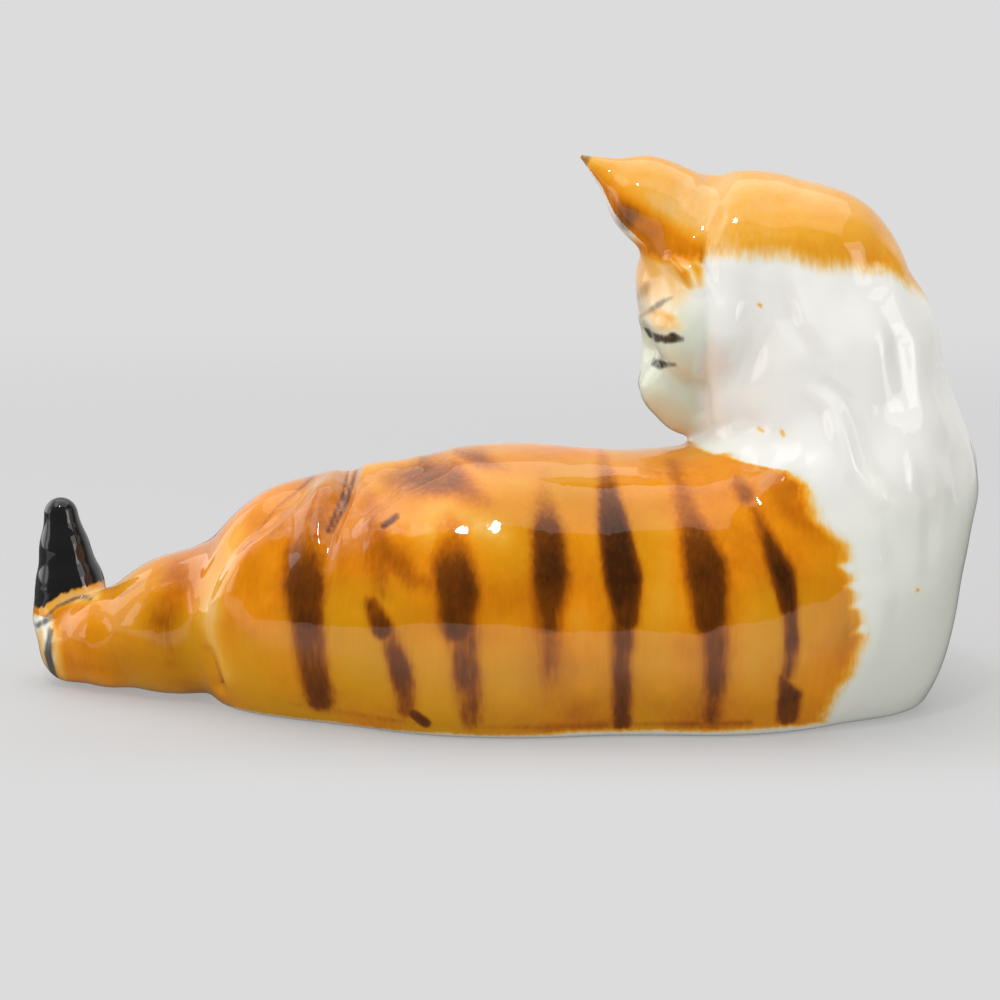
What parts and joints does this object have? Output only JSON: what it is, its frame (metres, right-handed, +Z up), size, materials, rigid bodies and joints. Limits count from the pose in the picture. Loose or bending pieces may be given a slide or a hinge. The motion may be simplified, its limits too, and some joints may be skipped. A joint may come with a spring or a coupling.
{
  "type": "ceramic cat figurine",
  "caption": "Glazed porcelain figurine of a reclining tabby-and-white cat that looks back over its flank, slip-cast hollow in several pieces, on a flat base.",
  "frame": {"origin": "middle of the figurine's bounding box in plan, on the plane that it stands on", "axes": "+X along the body from the tail towards the chest, -Y towards the cat's back, +Y towards its paws, +Z up"},
  "size_m": [0.2264, 0.1086, 0.1293],
  "materials": {
    "orange_glaze": "gloss, tabby orange with dark brown stripes",
    "white_glaze": "gloss white with an orange cap and brown face marks",
    "tail_glaze": "gloss orange, ringed, with a black tip",
    "biscuit": "matt unglazed",
    "slip": "fired slip under the glaze"
  },
  "bodies": {
    "root": {"torso_shell": "orange_glaze", "head_shell": "white_glaze", "left_ear": "orange_glaze", "right_ear": "orange_glaze", "left_foreleg": "white_glaze", "right_foreleg": "white_glaze", "left_hind_leg": "orange_glaze", "right_hind_leg": "orange_glaze", "tail": "tail_glaze", "base_plate": "biscuit", "neck_slip_joint": "slip", "left_ear_slip_joint": "slip", "right_ear_slip_joint": "slip", "left_foreleg_slip_joint": "slip", "right_foreleg_slip_joint": "slip", "left_hind_leg_slip_joint": "slip", "right_hind_leg_slip_joint": "slip", "tail_slip_joint": "slip", "base_slip_joint": "slip"}
  },
  "joints": []
}
